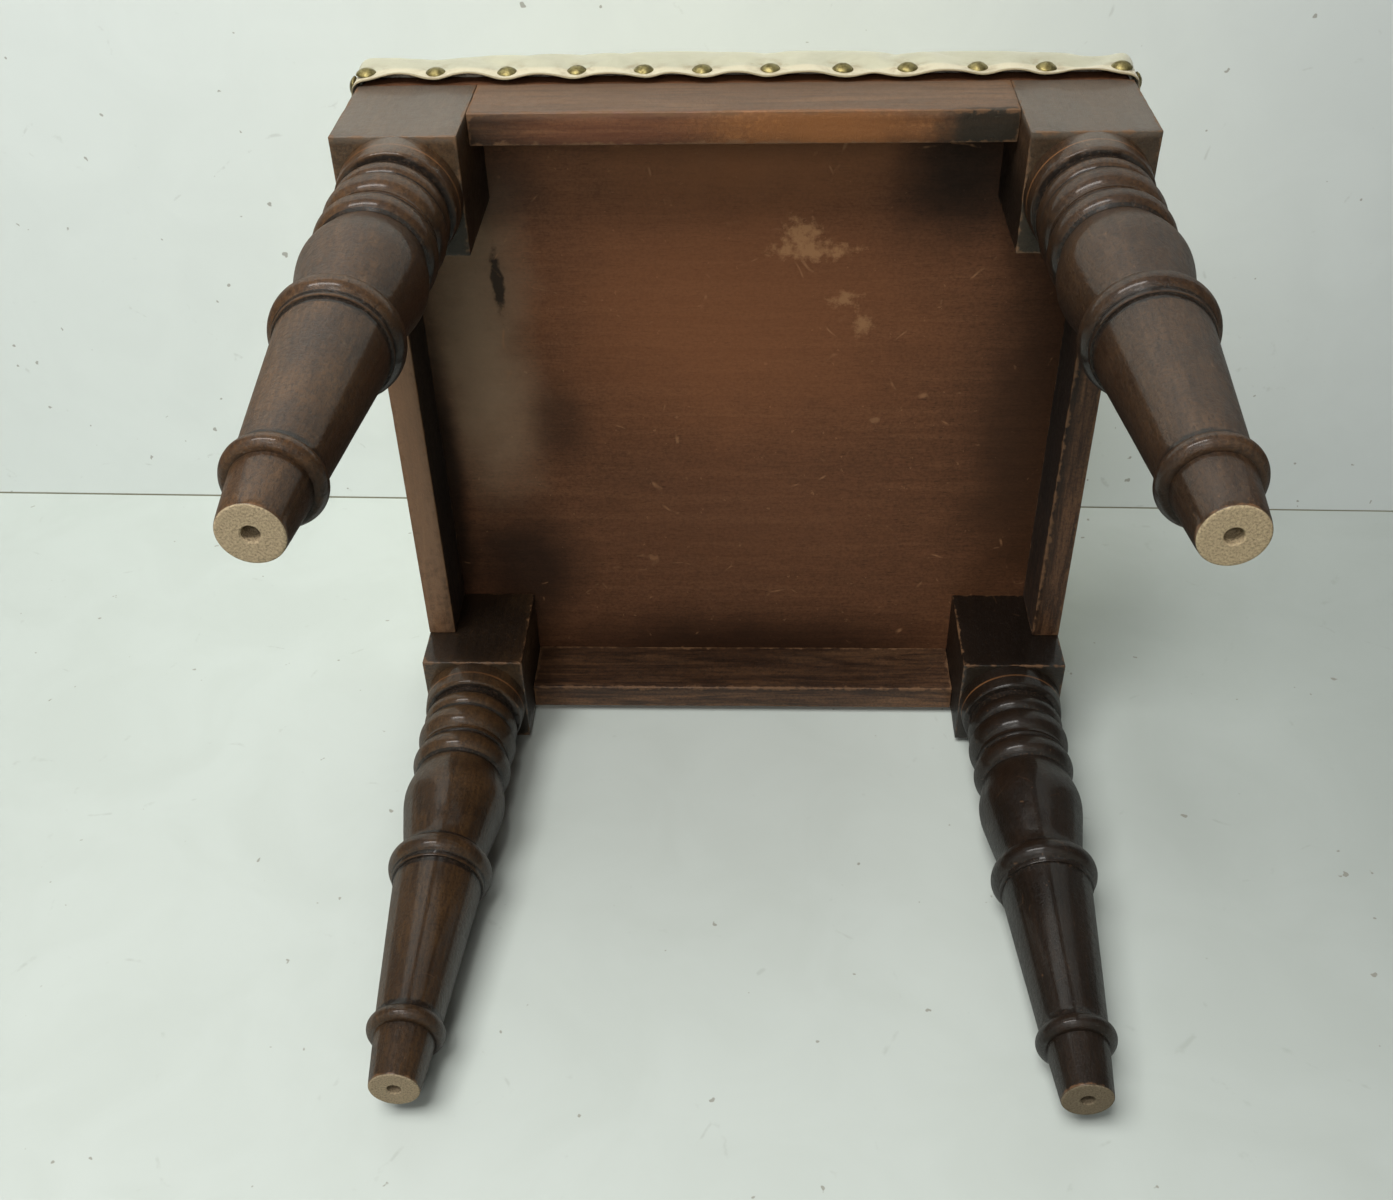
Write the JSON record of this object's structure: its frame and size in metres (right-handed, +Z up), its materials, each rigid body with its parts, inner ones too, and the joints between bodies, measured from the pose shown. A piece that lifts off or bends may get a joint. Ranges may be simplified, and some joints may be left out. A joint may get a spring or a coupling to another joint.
{
  "type": "piano bench",
  "caption": "Square padded piano stool: nailed leathercloth seat on a wooden rail frame with turned legs.",
  "frame": {"origin": "on the floor at the middle of the four feet, under the centre of the seat", "axes": "+Z up, front rail at -Y, +X to the right of someone who looks at the front"},
  "size_m": [0.4728, 0.4728, 0.464],
  "materials": {
    "turned_wood": "satin varnish over dark stain, turned",
    "rail_wood": "satin varnish outside, bare stained wood inside and below",
    "dowel_wood": "plain beech",
    "board_wood": "dry reddish veneer, stained near its edges",
    "steel": "plain steel",
    "foam": "polyurethane foam",
    "wadding": "soft felted wadding",
    "leathercloth": "ivory coated cloth, fine grain, satin",
    "nail_brass": "antiqued domed heads"
  },
  "bodies": {
    "root": {"leg_front_left": "turned_wood", "leg_front_right": "turned_wood", "leg_back_left": "turned_wood", "leg_back_right": "turned_wood", "rail_front": "rail_wood", "rail_back": "rail_wood", "rail_left": "rail_wood", "rail_right": "rail_wood", "dowels_front_left": "dowel_wood", "dowels_front_right": "dowel_wood", "dowels_back_left": "dowel_wood", "dowels_back_right": "dowel_wood", "seat_board": "board_wood", "board_screws": "steel", "seat_foam": "foam", "seat_wadding": "wadding", "seat_cover": "leathercloth", "nails_front": "nail_brass", "nails_back": "nail_brass", "nails_left": "nail_brass", "nails_right": "nail_brass"}
  },
  "joints": []
}
